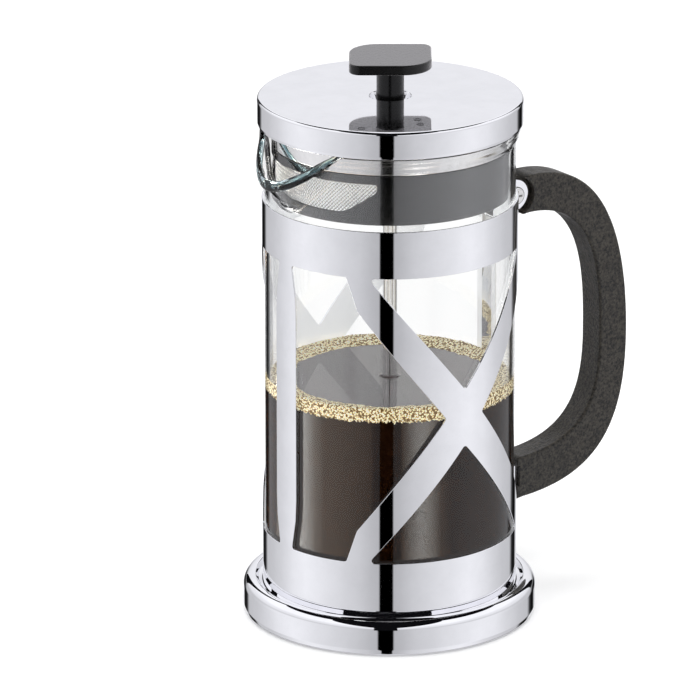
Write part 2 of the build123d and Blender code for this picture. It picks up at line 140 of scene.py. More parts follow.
def lathe(profile, steps=180):
    """A closed (radius, height) profile turned about the pot's axis."""
    shape = Shape()
    profile = [Vector(p) for p in profile]
    count = len(profile)
    area = sum(a.cross(b) for a, b in zip(profile, profile[1:] + profile[:1]))
    sides = []
    for a, b in zip(profile, profile[1:] + profile[:1]):
        along = b - a
        sides.append(Vector((along.y, -along.x)) * copysign(1, area))
    rings = []
    for p in profile:
        first = len(shape.points)
        if p.x < 1e-6:
            shape.points.append(Vector((0, 0, p.y)))
            rings.append([first] * steps)
        else:
            shape.points += [Vector((p.x * cos(tau * k / steps), p.x * sin(tau * k / steps), p.y))
                             for k in range(steps)]
            rings.append(list(range(first, first + steps)))

    def slope(corner, side):
        """The profile's normal at a corner, seen from one of the two sides that meet there."""
        other = sides[corner - 1] if side == corner else sides[corner]
        mine = sides[side]
        if other.length < 1e-9 or mine.angle(other) > SHARP:
            return mine.normalized()
        return (mine + other).normalized()

    for i in range(count):
        j = (i + 1) % count
        if profile[i].x < 1e-6 and profile[j].x < 1e-6:
            continue
        low, high = slope(i, i), slope(j, i)
        for k in range(steps):
            m = (k + 1) % steps
            spins = (k, k, m, m)
            ring_corners = [rings[i][k], rings[j][k], rings[j][m], rings[i][m]]
            tilts = (low, high, high, low)
            normals = [Vector((t.x * cos(tau * s / steps), t.x * sin(tau * s / steps), t.y))
                       for t, s in zip(tilts, spins)]
            if ring_corners[0] == ring_corners[3]:
                del ring_corners[3], normals[3]
            elif ring_corners[1] == ring_corners[2]:
                del ring_corners[2], normals[2]
            shape.face(ring_corners, normals)
    return shape


def inside(loops, spots):
    """Even-odd test of many spots against closed loops, both in the flat."""
    x, y = spots[:, 0], spots[:, 1]
    odd = np.zeros(len(spots), bool)
    for loop in loops:
        ends = np.array(loop)
        for (x1, y1), (x2, y2) in zip(ends, np.roll(ends, -1, 0)):
            if y1 != y2:
                odd ^= ((y1 > y) != (y2 > y)) & (x < (x2 - x1) * (y - y1) / (y2 - y1) + x1)
    return odd


def plate(loops, place, half, edge, flat=lambda u, v: (u, v), grid=(), period=None, soften=None, arc=3):
    """A sheet or slab with rounded edges.

    loops are closed outlines in the flat (u, v), with the material on their left, place(u, v, t) bends the
    flat into space with t across the thickness, and flat(u, v) is where it is cut into triangles.
    """
    shape = Shape()
    rims, cut_points, cut_edges = [], [], []

    def gap(a, b):
        step = Vector(b) - Vector(a)
        if period:
            step.x = (step.x + period / 2) % period - period / 2
        return step

    for loop in loops:
        rim = []
        for before, here, after in zip(loop[-1:] + loop[:-1], loop, loop[1:] + loop[:1]):
            a, b = gap(before, here).normalized(), gap(here, after).normalized()
            first = Vector((-a.y, a.x))
            both = (first + Vector((-b.y, b.x))).normalized()
            reach = edge * (soften(here.x, here.y) if soften else 1)
            rim.append((Vector(here), both, both * reach / max(both.dot(first), 0.5)))
        rims.append(rim)
        start = len(cut_points)
        cut_points += [here + inset for here, _, inset in rim]
        cut_edges += [(start + k, start + (k + 1) % len(rim)) for k in range(len(rim))]
    cut_points += [Vector(p) for p in grid]
    flat_points = [Vector(flat(p.x, p.y)) for p in cut_points]
    cut = geometry.delaunay_2d_cdt(flat_points, cut_edges, [], 0, 1e-6)
    flat_loops, start = [], 0
    for rim in rims:
        flat_loops.append(flat_points[start:start + len(rim)])
        start += len(rim)
    middles = np.array([sum((cut[0][i] for i in face), Vector((0, 0))) / len(face) for face in cut[2]])
    kept = [face for face, good in zip(cut[2], inside(flat_loops, middles)) if good]

    def normal(u, v):
        return (place(u, v, half) - place(u, v, -half)).normalized()

    skins = {}
    for t in (half, -half):
        skin = {}
        for face in kept:
            for i in face:
                if i not in skin:
                    p = cut_points[cut[3][i][0]]
                    skin[i] = len(shape.points)
                    shape.points.append(place(p.x, p.y, t))
        for face in kept:
            spots = [cut_points[cut[3][i][0]] for i in face]
            shape.face([skin[i] for i in face], [normal(p.x, p.y) * copysign(1, t) for p in spots])
        skins[t] = {cut[3][i][0]: k for i, k in skin.items()}

    start = 0
    quarter = [(k / arc) * pi / 2 for k in range(arc + 1)]
    for rim in rims:
        rows = []
        for top, angles in ((1, quarter), (-1, quarter[::-1])):
            for angle in angles:
                row = []
                for k, (here, out, inset) in enumerate(rim):
                    reach = inset.length
                    spot = here + inset * (1 - sin(angle))
                    t = top * (half - reach * (1 - cos(angle)))
                    away = place(spot.x - out.x * 0.01, spot.y - out.y * 0.01, t) - place(spot.x, spot.y, t)
                    tilt = away.normalized() * sin(angle) + normal(spot.x, spot.y) * cos(angle) * top
                    if angle == 0:
                        row.append((skins[top * half][start + k], tilt))
                    else:
                        row.append((len(shape.points), tilt))
                        shape.points.append(place(spot.x, spot.y, t))
                rows.append(row)
        for above, below in zip(rows, rows[1:]):
            for k in range(len(rim)):
                m = (k + 1) % len(rim)
                corners = (above[k], below[k], below[m], above[m])
                shape.face([c[0] for c in corners], [c[1] for c in corners])
        start += len(rim)
    return shape


def along(path):
    """place() for a sheet that follows a path seen from above: u runs along it, v is the height."""
    lengths = [0]
    for a, b in zip(path, path[1:]):
        lengths.append(lengths[-1] + (b - a).length)
    sides = []
    for i in range(len(path)):
        step = path[min(i + 1, len(path) - 1)] - path[max(i - 1, 0)]
        sides.append(Vector((-step.y, step.x)).normalized())

    def place(u, v, t):
        i = min(max(bisect_right(lengths, u) - 1, 0), len(path) - 2)
        share = (u - lengths[i]) / (lengths[i + 1] - lengths[i])
        spot = path[i].lerp(path[i + 1], share) + sides[i].lerp(sides[i + 1], min(max(share, 0), 1)) * t
        return Vector((spot.x, spot.y, v))

    return place, lengths[-1]


def round_wall(radius):
    """place() and flat() for a sheet rolled about the pot's axis; u is the arc's length at that radius."""
    def place(u, v, t):
        return Vector(((radius + t) * cos(u / radius), (radius + t) * sin(u / radius), v))

    def flat(u, v):
        return (v * cos(u / radius), v * sin(u / radius))

    return place, flat


def tube(path, radius, sides=6, closed=False):
    """A round wire along a path."""
    shape = Shape()
    count = len(path)
    up = Vector((0.31, 0.17, 0.93)).normalized()
    for i, p in enumerate(path):
        ahead = path[(i + 1) % count] if closed else path[min(i + 1, count - 1)]
        behind = path[i - 1] if closed else path[max(i - 1, 0)]
        along_path = (ahead - behind).normalized()
        up = (up - along_path * up.dot(along_path)).normalized()
        side = along_path.cross(up)
        shape.points += [p + (up * cos(tau * k / sides) + side * sin(tau * k / sides)) * radius
                         for k in range(sides)]
    for i in range(count if closed else count - 1):
        j = (i + 1) % count
        for k in range(sides):
            m = (k + 1) % sides
            corners = (i * sides + k, j * sides + k, j * sides + m, i * sides + m)
            owners = (path[i], path[j], path[j], path[i])
            shape.face(corners, [(shape.points[c] - o).normalized() for c, o in zip(corners, owners)])
    if not closed:
        for end, i in ((-1, 0), (1, count - 1)):
            axis = (path[i] - path[i - end]).normalized()
            ring = [i * sides + k for k in range(sides)]
            shape.faces.append(tuple(ring if end > 0 else ring[::-1]))
            shape.normals.append(tuple([axis] * sides))
    return shape


# ---------------------------------------------------------------- materials
def node(tree, kind, **sockets):
    made = tree.nodes.new(kind)
    for name, value in sockets.items():
        made.inputs[name.replace("_", " ")].default_value = value
    return made


def surface(name, dark, light, rough, metallic=0.0, scale=400, detail=6, bump=0.1, depth=0.02,
            bump_scale=None, **more):
    """A Principled surface whose colour, roughness and fine relief all vary with noise in the object's space.

    rough is (smoothest, roughest), scale is in repeats per metre and depth, the height of the relief, in mm.
    """
    material = bpy.data.materials.new(name)
    material.use_nodes = True
    tree = material.node_tree
    link = tree.links.new
    shader = tree.nodes["Principled BSDF"]
    shader.inputs["Metallic"].default_value = metallic
    for socket, value in more.items():
        shader.inputs[socket.replace("_", " ")].default_value = value
    where = tree.nodes.new("ShaderNodeTexCoord").outputs["Object"]

    def noise_at(size, levels, roughness=0.6):
        texture = node(tree, "ShaderNodeTexNoise", Scale=size, Detail=levels, Roughness=roughness)
        link(where, texture.inputs["Vector"])
        return texture.outputs["Fac"]

    ramp = tree.nodes.new("ShaderNodeValToRGB")
    ramp.color_ramp.elements[0].position, ramp.color_ramp.elements[1].position = 0.35, 0.65
    ramp.color_ramp.elements[0].color, ramp.color_ramp.elements[1].color = (*dark, 1), (*light, 1)
    link(noise_at(scale, detail), ramp.inputs["Fac"])
    link(ramp.outputs["Color"], shader.inputs["Base Color"])
    spread = node(tree, "ShaderNodeMapRange", From_Min=0.3, From_Max=0.7, To_Min=rough[0], To_Max=rough[1])
    link(noise_at(scale / 4, 4), spread.inputs["Value"])
    link(spread.outputs["Result"], shader.inputs["Roughness"])
    relief = node(tree, "ShaderNodeBump", Strength=bump, Distance=depth * MM)
    link(noise_at(bump_scale or scale * 3, 3), relief.inputs["Height"])
    link(relief.outputs["Normal"], shader.inputs["Normal"])
    return material


looks = {
    "chrome_steel": surface("chrome_steel", (0.90, 0.90, 0.92), (0.94, 0.94, 0.96), (0.02, 0.045), metallic=1,
                            scale=90, detail=3, bump=0.02, depth=0.01, bump_scale=250),
    "bright_steel": surface("bright_steel", (0.82, 0.81, 0.80), (0.88, 0.87, 0.86), (0.05, 0.10), metallic=1,
                            scale=300, bump=0.02, depth=0.01),
    "screw_steel": surface("screw_steel", (0.72, 0.71, 0.70), (0.84, 0.83, 0.82), (0.12, 0.24), metallic=1,
                           scale=900, bump=0.08),
    "spring_steel": surface("spring_steel", (0.66, 0.65, 0.63), (0.80, 0.79, 0.77), (0.15, 0.26), metallic=1,
                            scale=1200, bump=0.06),
    "mesh_steel": surface("mesh_steel", (0.84, 0.84, 0.82), (0.96, 0.96, 0.94), (0.18, 0.28), metallic=1,
                          scale=1500, bump=0.05),
    "black_plastic": surface("black_plastic", (0.010, 0.010, 0.011), (0.020, 0.020, 0.021), (0.35, 0.5),
                             scale=2200, bump=0.25, depth=0.05),
    "handle_plastic": surface("handle_plastic", (0.0008, 0.0007, 0.0006), (0.055, 0.048, 0.038), (0.34, 0.55),
                              scale=1000, detail=3, bump=1.0, depth=0.34, bump_scale=1100,
                              Specular_IOR_Level=0.4),
    "knob_plastic": surface("knob_plastic", (0.0008, 0.0008, 0.0008), (0.004, 0.004, 0.004), (0.24, 0.32),
                            scale=2600, detail=2, bump=0.25, depth=0.06, bump_scale=3000,
                            Specular_IOR_Level=0.15, Sheen_Weight=1.0, Sheen_Roughness=0.34,
                            Sheen_Tint=(1, 0.96, 1, 1), Coat_Weight=0.8, Coat_IOR=1.3, Coat_Roughness=0.22),
    "strainer_plastic": surface("strainer_plastic", (0.002, 0.002, 0.002), (0.005, 0.005, 0.005),
                                (0.10, 0.18), scale=500, bump=0.04, depth=0.02, IOR=2.25),
    "cushion_rubber": surface("cushion_rubber", (0.010, 0.010, 0.010), (0.022, 0.021, 0.020), (0.6, 0.75),
                              scale=1500, bump=0.3, depth=0.05),
    "beaker_glass": surface("beaker_glass", (0.99, 0.995, 0.995), (1.0, 1.0, 1.0), (0.0, 0.004), scale=60,
                            detail=2, bump=0.01, depth=0.01, bump_scale=40, Transmission_Weight=1.0,
                            IOR=1.47, Specular_IOR_Level=0.06),
}
lip_look = surface("lip", (0.30, 0.48, 0.52), (0.50, 0.66, 0.70), (0.0, 0.01), scale=200, detail=2, bump=0.01,
                   depth=0.01, bump_scale=40, Transmission_Weight=1.0, IOR=1.47)
# the inside of the cage sheet glows (emission): painted light standing for the light that falls on its inner
# face
sheet_inside_painted_glow = surface("sheet_inside_painted_glow", (0.80, 0.80, 0.81), (0.88, 0.88, 0.88), (0.35, 0.5), metallic=0.3,
                       scale=300, bump=0.1, Emission_Color=(0.96, 0.98, 1, 1), Emission_Strength=0.58)
coffee_look = surface("coffee", (0.014, 0.0055, 0.002), (0.020, 0.008, 0.003), (0.03, 0.06), scale=120,
                      bump=0.03, depth=0.03, bump_scale=60, IOR=1.5, Specular_IOR_Level=0.2)
# the coffee's top: a lighter, mauve-grey copy of the coffee's colour, a painted reflection of the
# surroundings on the liquid
coffee_top_painted_reflection = surface("coffee_top", (0.058, 0.034, 0.038), (0.076, 0.048, 0.052), (0.04, 0.08), scale=120,
                          bump=0.03, depth=0.03, bump_scale=200, IOR=1.8)


def froth():
    """Foam: pale bubbles, darker and deeper where they meet; the bubbles also glow, which is painted light.
    """
    material = surface("coffee_foam", (0.70, 0.50, 0.22), (0.95, 0.80, 0.50), (0.25, 0.45), scale=300,
                       IOR=1.33)
    tree = material.node_tree
    link = tree.links.new
    shader = tree.nodes["Principled BSDF"]
    where = tree.nodes.new("ShaderNodeTexCoord").outputs["Object"]
    cells = node(tree, "ShaderNodeTexVoronoi", Scale=1250)
    link(where, cells.inputs["Vector"])
    ramp = tree.nodes.new("ShaderNodeValToRGB")
    stops = ((0.2, (1.0, 0.98, 0.84)), (0.42, (0.99, 0.86, 0.52)), (0.66, (0.16, 0.09, 0.02)))
    ramp.color_ramp.elements.new(0.5)
    for element, (at, colour) in zip(ramp.color_ramp.elements, stops):
        element.position, element.color = at, (*colour, 1)
    link(cells.outputs["Distance"], ramp.inputs["Fac"])
    link(ramp.outputs["Color"], shader.inputs["Base Color"])
    # the bubbles' colour also glows: painted light
    link(ramp.outputs["Color"], shader.inputs["Emission Color"])
    shader.inputs["Emission Strength"].default_value = 0.42
    relief = tree.nodes["Bump"]
    relief.invert = True
    relief.inputs["Strength"].default_value, relief.inputs["Distance"].default_value = 0.9, 0.3 * MM
    link(cells.outputs["Distance"], relief.inputs["Height"])
    return material


foam_look_painted_glow = froth()
for part in frame["record"]["subparts"]:
    mesh = frame["nodes"][part["node"]].data
    mesh.materials.clear()
    mesh.materials.append(looks[part["material_slot"]])


# ---------------------------------------------------------------- the stand
CAGE = 51.1  # middle of the rolled sheet
HALF_SHEET, SHEET_EDGE = 0.4, 0.2  # half the sheet's thickness, and how far its edges are rounded
CAGE_FOOT, CAGE_TOP = 4, 175.5
LOW, HIGH, MID = 36.8, 156.2, 96.3  # the cut-outs' lowest and highest edges, and where the straps cross
SIDE_CUT = [(-40.5, HIGH), (-10.5, HIGH), (-5.5, 142.4), (35.2, MID), (-5.5, 50.2), (-10.5, LOW),
            (-40.5, LOW), (-38, 49), (-37.5, 58), (-37.5, 134.6), (-38, 143.6)]
SEAM = 6.5  # degrees either side of the handle at which the sheet turns out into the two ears
EAR_X, EAR_Z, EAR_R = 59.5, 165.6, 6.6
EAR_LOW, EAR_HIGH = 158.9, 172.3  # the ears' height where they leave the sheet
EAR_Y = 3.7  # middle of an ear's sheet, either side of the handle's tongue
SLIT = 3.8  # degrees either side of the handle to which the band's edge runs on above and below the ears

wall, unrolled = round_wall(CAGE)


def on_sheet(corners, step=1.8, wrap=0):
    """A closed outline of (degrees, height, radius) corners, in the flat sheet."""
    flat = [(CAGE * radians(corner[0]), *corner[1:]) for corner in corners]
    return divided(rounded(flat), step, wrap)


def cut_out(direction, corners, sense=1):
    """A window through the sheet, from corners of (degrees from a direction, height); sense -1 mirrors it."""
    shifted = [(direction + sense * angle, height, 1.2) for angle, height in corners]
    # clockwise, so that the sheet is on its left
    area = sum(a[0] * b[1] - b[0] * a[1] for a, b in zip(shifted, shifted[1:] + shifted[:1]))
    return on_sheet(shifted[::-1] if area > 0 else shifted)


cuts = [cut_out(side, SIDE_CUT, sense) for side, sense in ((-135, 1), (-45, -1), (45, 1), (135, -1))]
for side in (-90, 90):
    cuts.append(cut_out(side, [(-45.4, HIGH), (0, 107.2), (45.4, HIGH)]))
    cuts.append(cut_out(side, [(-45.4, LOW), (0, 84), (45.4, LOW)]))
top_edge = on_sheet([(360 - SLIT, CAGE_TOP), (SLIT, CAGE_TOP), (SLIT, EAR_HIGH), (SEAM, EAR_HIGH),
                     (SEAM, EAR_LOW), (SLIT, EAR_LOW), (SLIT, 158), (-SLIT, 158), (-SLIT, EAR_LOW),
                     (-SEAM, EAR_LOW), (-SEAM, EAR_HIGH), (-SLIT, EAR_HIGH)], wrap=-tau * CAGE)
foot_edge = [Vector((CAGE * radians(k * 1.5), CAGE_FOOT)) for k in range(240)]
sheet_grid = [(CAGE * radians(k * 2), z) for k in range(180) for z in range(8, 175, 6)]


def at_seam(u, v):
    """The bend into an ear is one piece with the sheet, so the edge isn't rounded there."""
    angle = (u / CAGE + pi) % tau - pi
    return 0.05 if abs(abs(angle) - radians(SEAM)) < 0.004 and 158.5 < v < 172.6 else 1


cage = plate([top_edge, foot_edge, *cuts], wall, HALF_SHEET, SHEET_EDGE, unrolled, sheet_grid, tau * CAGE,
             at_seam)
cage.join(lathe([(40, 4), (50.6, 4), (50.6, 4.8), (40, 4.8)], 90))  # its in-turned foot
for side in (-1, 1):
    start = Vector((CAGE * cos(radians(SEAM)), CAGE * sin(radians(SEAM))))
    turn_x = start.x + (start.y - EAR_Y) * tan(radians(SEAM))
    bend = rounded([start, (turn_x, EAR_Y, 1.6), (EAR_X + EAR_R, EAR_Y)], steps=16)
    path = [Vector((p.x, p.y * side)) for p in bend]
    ear_place, length = along(path)
    middle = length - EAR_R
    tip = [(middle + EAR_R * cos(a), EAR_Z + EAR_R * sin(a)) for a in (radians(d) for d in range(-90, 91, 6))]
    ear = divided([Vector(p) for p in [(0, EAR_LOW), *tip, (0, EAR_HIGH)]], 1.2)
    ear_grid = [(k * 0.25, z) for k in range(1, 22) for z in range(161, 172, 3)]
    cage.join(plate([ear], ear_place, HALF_SHEET, SHEET_EDGE, grid=ear_grid,
                    soften=lambda u, v: 0.05 if u < 0.1 else 1))
cage_piece = piece("cage", cage, "stand", looks["chrome_steel"], ["frame_cage"])
cage_piece.data.materials.append(sheet_inside_painted_glow)
for face in cage_piece.data.polygons:
    # the sheet's inside, which gets the glowing material: painted light
    if face.normal.x * face.center.x + face.normal.y * face.center.y < -0.03 and face.center.x < 0.0506:
        face.material_index = 1

cover = rounded([(56.2, 0), (58.6, 0.9, 0.8), (59.35, 3, 1.2), (59.35, 15.2, 4.2), (54.6, 15.1, 0.9),
                 (53.2, 13.3, 0.5), (51.8, 12.7), (51.8, 11.6), (53.6, 11.7), (55, 13.6), (56.2, 13.7),
                 (58.1, 11.2), (58.1, 3.4), (56.2, 1.6)], steps=16)
piece("cover", lathe(cover, 240), "stand", looks["chrome_steel"], ["base_cover"])

# the handle: a slab with a round bite for the ears, and the tongue between them
bite = [(EAR_X + 8 * cos(a), EAR_Z + 8 * sin(a)) for a in (radians(70 - d) for d in range(0, 141, 5))]
outline = [Vector(p) for p in [(60, 53.5), (60, 49.9), (61.2, 49.9), (61.2, 41.3), (60, 41.3)]]
outline += bezier((60, 36), (101, 37.2), (115.9, 56.8), (115.9, 98))
outline += bezier((115.9, 98), (115.9, 138.3), (104.3, 173.5), (68, 173.5))
outline += [Vector(p) for p in [(68, 173.5), (62, 173.5), *bite, (62, 157.7)]]
outline += bezier((66, 157.7), (102, 157.7), (102, 120.7), (102, 98))
outline += bezier((102, 98), (102, 71), (94.2, 54.5), (60, 53.5))


def upright(u, v, t):
    """place() for a slab that stands in the plane of the handle."""
    return Vector((u, t, v))


def grip_edge(u, v):
    """The grip's long edges are well rounded, and those at the ears and the lower bracket are crisp."""
    if hypot(u - EAR_X, v - EAR_Z) < 8.6:
        return 0.07 if abs(v - EAR_Z) > 6 else 0.2
    return 0.25 if u < 62.5 else 1


grip = plate([outline], upright, 6.4, 1.2, soften=grip_edge, arc=5)
tongue = [Vector(p) for p in [(52.4, 157.9), (70, 157.9), (70, 173.3), (52.4, 173.3)]]
grip.join(plate([tongue], upright, 3.2, 0.3))
piece("grip", grip, "stand", looks["handle_plastic"], ["handle"])


# ---------------------------------------------------------------- the beaker and what is in it
RIM = 207.6
BEAKER_R = 50.4  # outer radius below the mouth
GLASS = 2.0
MOUTH_FROM, MOUTH_RISE, MOUTH_OUT = 198.5, 6, 1.8  # where the mouth opens, over what height, and how far
BEAD_Z, BEAD_OUT, BEAD_HALF = 201.2, 0.45, 0.6  # the bead line under the rim
FLOOR_LOW, FLOOR_HIGH = 7.2, 10.0  # the beaker's floor
HEEL = 42.4  # radius of the centre of the beaker's rounded heel
BULGE_X = 36  # the spout's bulge is an ellipse about this distance from the axis
BULGE = ((177.5, 13.8, 9), (190, 24.4, 19.5), (RIM, 26.2, 27.5))  # height, half length, half width
LIP = ((44, RIM), (51.5, 200), (60.2, 191.4), (66, 187))  # distance from the axis, height of the lip
BLEND = 3  # width over which the bulge runs into the wall


def spout_reach(angle, z):
    """Outer radius of the spout's bulge at an angle from its middle, or 0 where there is none."""
    for (z1, a1, b1), (z2, a2, b2) in zip(BULGE, BULGE[1:]):
        if z1 <= z <= z2:
            share = (z - z1) / (z2 - z1)
            a, b = a1 + (a2 - a1) * share, b1 + (b2 - b1) * share
            p = (cos(angle) / a) ** 2 + (sin(angle) / b) ** 2
            q = -2 * BULGE_X * cos(angle) / a**2
            left = q * q - 4 * p * ((BULGE_X / a) ** 2 - 1)
            return (-q + left**0.5) / (2 * p) if left > 0 and cos(angle) > 0 else 0
    return 0


def glass_radius(angle, z):
    opening = min(max((z - MOUTH_FROM) / MOUTH_RISE, 0), 1)
    straight = BEAKER_R + MOUTH_OUT * opening * opening * (3 - 2 * opening)
    straight += BEAD_OUT * exp(-((z - BEAD_Z) / BEAD_HALF) ** 2)
    bulge = spout_reach(angle, z)
    near = max(BLEND - abs(straight - bulge), 0) / BLEND
    return max(straight, bulge) + near * near * BLEND / 4


def lip_height(angle):
    """The rim is level all round and falls away over the spout."""
    z = RIM
    for _ in range(24):
        x = glass_radius(angle, z) * cos(angle)
        for (x1, z1), (x2, z2) in zip(LIP, LIP[1:]):
            if x1 <= x <= x2:
                z += (z1 + (z2 - z1) * (x - x1) / (x2 - x1) - z) * 0.5
        if x < LIP[0][0]:
            z += (RIM - z) * 0.5
    return z


def beaker_shape(columns=360, levels=30):
    """The glass, column by column: up its outside, over the fire-rounded lip and down its inside."""
    shape = Shape()
    corner = [radians(d) for d in range(-90, 1, 15)]
    rows = []
    for k in range(columns):
        angle = tau * k / columns
        from_spout = angle - pi
        rim = lip_height(from_spout) - 1.1
        outer = [(r, FLOOR_LOW) for r in (12, 24, 34)]
        outer += [(HEEL + 8 * cos(a), FLOOR_LOW + 8 + 8 * sin(a)) for a in corner]
        low = [40, 70, 100, 130, 160, 172]
        high = [176 + (rim - 176) * i / levels for i in range(levels + 1)]
        outer += [(glass_radius(from_spout, z), z) for z in low + high]
        inner = [(r - GLASS, z) for r, z in outer[-len(low + high):]][::-1]
        inner += [(HEEL + 6 * cos(a), FLOOR_HIGH + 6 + 6 * sin(a)) for a in corner[::-1]]
        inner += [(r, FLOOR_HIGH) for r in (34, 24, 12)]
        middle = (outer[-1][0] + inner[0][0]) / 2
        half = (outer[-1][0] - inner[0][0]) / 2
        share = min(max((205 - rim) / 6, 0), 1)
        fat = 1 + 0.35 * share
        bead = [(middle + half * fat * cos(a), rim - 0.3 + (1.4 + 0.9 * share) * sin(a))
                for a in (radians(d) for d in range(-60, 241, 12))]
        rows.append([(r * cos(angle), r * sin(angle), z) for r, z in outer + bead + inner])
    count = len(rows[0])
    for row in rows:
        shape.points += [Vector(p) for p in row]
    bottom, floor_middle = len(shape.points), len(shape.points) + 1
    shape.points += [Vector((0, 0, FLOOR_LOW)), Vector((0, 0, FLOOR_HIGH))]
    for k in range(columns):
        a, b = k * count, (k + 1) % columns * count
        shape.faces.append((bottom, b, a))
        shape.faces.append((floor_middle, a + count - 1, b + count - 1))
        shape.faces += [(a + i, b + i, b + i + 1, a + i + 1) for i in range(count - 1)]
    return shape


beaker = piece("beaker_wall", beaker_shape(), "beaker", looks["beaker_glass"],
               ["glass_beaker"])
beaker.data.materials.append(lip_look)
for face in beaker.data.polygons:
    # the thick lip of the spout
    lip = lip_height(atan2(face.center.y, face.center.x) - pi) * MM
    if face.center.x < -0.0445 and face.center.z > lip - 0.0018:
        face.material_index = 1

COFFEE_TOP = 99.5
FILL_R = 48.5  # a little into the glass, so that no air shows between the two
ROD_R = 2.86
fill = rounded([(0, 10.0), (HEEL, 9.95), (FILL_R, 9.95, 6), (FILL_R, COFFEE_TOP, 0.3), (4.4, COFFEE_TOP, 1),
                (ROD_R, COFFEE_TOP + 0.9), (0, COFFEE_TOP + 0.9)], steps=8)
coffee = piece("coffee", lathe(fill, 240), "beaker", coffee_look)
coffee.data.materials.append(coffee_top_painted_reflection)
for face in coffee.data.polygons:
    # upward faces take the lighter top colour: painted reflection
    if face.normal.z > 0.5:
        face.material_index = 1


def foam_body(columns=1080):
    """The ring of foam: it clings to the glass, thins out inward and ends in an uneven edge."""
    shape = Shape()
    across = 22
    for k in range(columns):
        angle = tau * k / columns
        way = Vector((cos(angle), sin(angle), 0))
        inner = 39.6 + 2.2 * noise.noise(way * 3.1) + 1.0 * noise.noise(way * 11)
        top = 101.6 + 0.5 * noise.noise(way * 5 + Vector((3, 0, 0))) + 0.3 * noise.noise(way * 40)
        foot = 95.7 + 0.5 * noise.noise(way * 23) + 1.1 * noise.noise(way * 75)
        profile = [(FILL_R + 0.05, z) for z in (foot, foot + 1.5, top - 1.2)] + [(FILL_R, top - 0.4)]
        for i in range(across):
            share = (i + 1) / across
            r = FILL_R - 0.1 + (inner - FILL_R + 0.1) * share
            z = top - (top - COFFEE_TOP - 0.1) * share**1.3 - 0.3 * share**8
            bubble = noise.noise(Vector((r * way.x, r * way.y, z)) * 1.7)
            fine = noise.noise(Vector((r * way.x, r * way.y, z)) * 3.6)
            profile.append((r, z + (0.28 * bubble + 0.16 * fine) * (1 - share**4)))
        profile += [(inner - 0.1, COFFEE_TOP - 0.6), (44, 95.0)]
        shape.points += [Vector((r * way.x, r * way.y, z)) for r, z in profile]
    count = len(profile)
    for k in range(columns):
        a, b = k * count, (k + 1) % columns * count
        shape.faces += [(a + i, b + i, b + (i + 1) % count, a + (i + 1) % count) for i in range(count)]
    return shape


piece("coffee_foam", foam_body(), "beaker", foam_look_painted_glow)


# ---------------------------------------------------------------- the lid
shell = rounded([(52.95, 205.8, 0.3), (53.25, 207.0, 0.5), (53.25, 217, 1.4), (8.4, 217, 0.7),
                 (7.5, 213.8, 0.4), (4.5, 213.8), (4.5, 213.0), (8.1, 213.0, 0.6), (9.2, 216.2, 0.6),
                 (52.45, 216.2, 0.8), (52.45, 207.2, 0.4), (52.3, 205.8, 0.2)], steps=10)
piece("lid_cap", lathe(shell, 240), "lid", looks["chrome_steel"], ["lid_shell"])
pan = rounded([(46.7, 198, 0.3), (47.5, 198, 0.3), (47.5, 207.9, 0.8), (52.4, 207.9, 0.2), (52.4, 208.7, 0.2),
               (4.5, 208.7), (4.5, 207.9), (46.7, 207.9, 0.8)])
piece("lid_neck", lathe(pan), "lid", looks["bright_steel"], ["lid_pan"])


# ---------------------------------------------------------------- the strainer
RING = 46.7
ring_place, ring_flat = round_wall(RING)
opening = [(-48, 194, 1.2), (48, 194, 1.2), (48, 190.5, 3.5), (31, 181.6, 12), (-31, 181.6, 12),
           (-48, 190.5, 3.5)]  # degrees from the spout's side, height, corner radius
ring_window = divided(rounded([(RING * radians(180 + a), z, r) for a, z, r in opening]), 1.4)
ring_top = [Vector((RING * radians(-2 * k), 197.7)) for k in range(180)]
ring_foot = [Vector((RING * radians(2 * k), 177.3)) for k in range(180)]
ring_grid = [(RING * radians(2 * k), z) for k in range(180) for z in (180, 183, 186, 189, 192, 195)]
ring = plate([ring_top, ring_foot, ring_window], ring_place, 0.8, 0.3, ring_flat, ring_grid, tau * RING)
# the collar that holds the ring under the lid's neck
ring.join(lathe(rounded([(46.4, 196.4), (46.4, 206, 0.3), (45.2, 206, 0.3), (45.2, 196.5), (46.2, 196.0)])))
piece("strainer_body", ring, "strainer", looks["strainer_plastic"], ["strainer_ring"])


def weave(across, up, pitch, wire, place, inside_cloth):
    """Wires crossing at right angles, each over one and under the next, laid on the diagonal."""
    shape = Shape()
    reach = int((across + up) / pitch / 1.4142) + 2
    for way in (1, -1):
        for k in range(-reach, reach + 1):
            run = []
            for m in range(-2 * reach, 2 * reach + 1):
                a, b = m * pitch / 2, k * pitch
                u, v = (a - way * b) * 0.7071, (way * a + b) * 0.7071
                bow = wire * 0.9 * way * (1 if (k + (m // 2)) % 2 else -1) * (1 if m % 2 == 0 else 0)
                if inside_cloth(u, v):
                    run.append(place(u, v, bow))
                    continue
                if len(run) > 2:
                    shape.join(tube(run, wire, 4))
                run = []
            if len(run) > 2:
                shape.join(tube(run, wire, 4))
    return shape


CLOTH_R, CLOTH_Z = 45.6, 187.9  # just inside the strainer ring, centred on its window


def on_ring(u, v, t):
    angle = pi + u / CLOTH_R
    return Vector(((CLOTH_R + t) * cos(angle), (CLOTH_R + t) * sin(angle), CLOTH_Z + v))


cloth = weave(80, 15, 1.1, 0.2, on_ring, lambda u, v: abs(u) < 39.6 and abs(v) < 7.3)
piece("strainer_cloth", cloth, "strainer", looks["mesh_steel"], ["strainer_mesh"])


# ---------------------------------------------------------------- the plunger
plate_corners = [(-16.5, -17.5, 4.5), (16.5, -17.5, 12), (16.5, 15.5, 4.5), (-16.5, 15.5, 12)]


def on_knob(u, v, t):
    return Vector((u * cos(VIEW_TURN) - v * sin(VIEW_TURN), u * sin(VIEW_TURN) + v * cos(VIEW_TURN), 232 + t))


